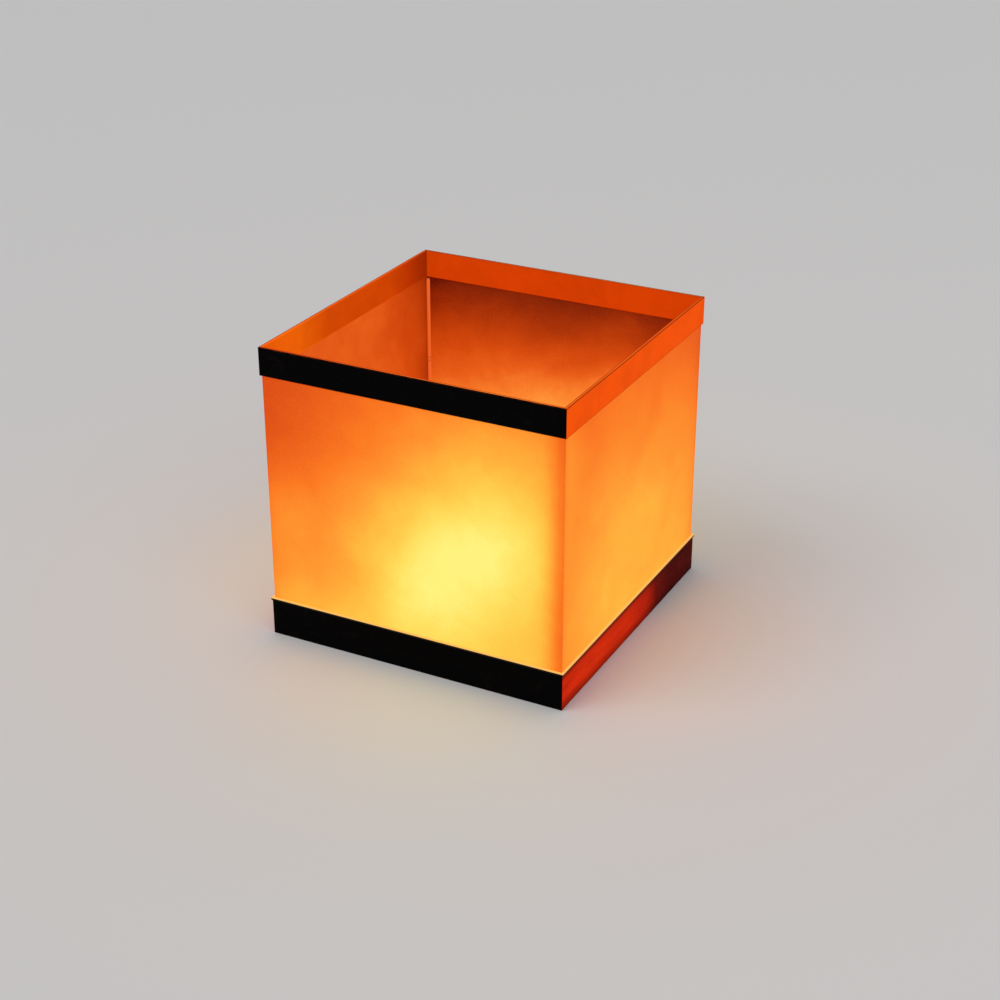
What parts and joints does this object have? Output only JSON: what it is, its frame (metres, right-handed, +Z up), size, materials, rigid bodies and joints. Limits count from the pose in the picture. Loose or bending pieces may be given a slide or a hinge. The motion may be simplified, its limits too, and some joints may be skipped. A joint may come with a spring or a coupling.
{
  "type": "floating pool light",
  "caption": "Open-topped square paper lantern on a boarded foam float, lit by a sealed battery candle that lifts out of a cup in its deck.",
  "frame": {"origin": "middle of the underside of the float, on the plane that the light rests on", "axes": "+Z is up, out of the open top; -Y faces the front wall, which has a black rim strip and a black base board; +X faces the right wall, which has orange-red ones"},
  "size_m": [0.151, 0.151, 0.144],
  "materials": {
    "paper": "matte",
    "card_black": "matte",
    "card_orange": "matte",
    "board_black": "matte",
    "board_orange": "satin",
    "deck": "satin",
    "foam": "matte",
    "bamboo": "satin",
    "cup": "satin",
    "lamp_plastic": "satin",
    "lens": "satin",
    "silicone": "matte",
    "cradle_plastic": "matte",
    "cell_steel": "satin",
    "contact_brass": "satin",
    "circuit_green": "satin",
    "led_resin": "gloss",
    "resistor_ceramic": "satin"
  },
  "bodies": {
    "float_base": {"float_block": "foam", "deck_plate": "deck", "base_board_front": "board_black", "base_board_right": "board_orange", "base_board_back": "board_black", "base_board_left": "board_orange", "corner_post_front_left": "bamboo", "corner_post_front_right": "bamboo", "corner_post_back_left": "bamboo", "corner_post_back_right": "bamboo", "lamp_cup": "cup"},
    "shade": {"paper_front": "paper", "paper_right": "paper", "paper_back": "paper", "paper_left": "paper", "rim_outer_front": "card_black", "rim_outer_right": "card_orange", "rim_outer_back": "card_black", "rim_outer_left": "card_orange", "rim_inner_front": "card_orange", "rim_inner_right": "card_orange", "rim_inner_back": "card_orange", "rim_inner_left": "card_orange"},
    "lamp": {"lamp_housing": "lamp_plastic", "cell_cradle": "cradle_plastic", "coin_cell_lower": "cell_steel", "coin_cell_upper": "cell_steel", "negative_contact": "contact_brass", "positive_contact": "contact_brass", "circuit_board": "circuit_green", "switch_pads": "contact_brass", "led": "led_resin", "series_resistor": "resistor_ceramic", "o_ring": "silicone"},
    "lamp_cap": {"cap_ring": "lamp_plastic", "flame_lens": "lens", "contact_bridge": "contact_brass"}
  },
  "joints": [
    {"name": "shade_lift", "type": "slide", "parent": "float_base", "child": "shade", "axis": [0, 0, 1], "range_m": [0, 0.118]},
    {"name": "lamp_lift", "type": "slide", "parent": "float_base", "child": "lamp", "axis": [0, 0, 1], "range_m": [0, 0.15]},
    {"name": "cap_twist", "type": "hinge", "parent": "lamp", "child": "lamp_cap", "pos_m": [0, 0, 0.025], "axis": [0, 0, 1], "range_deg": [0, 45]}
  ]
}
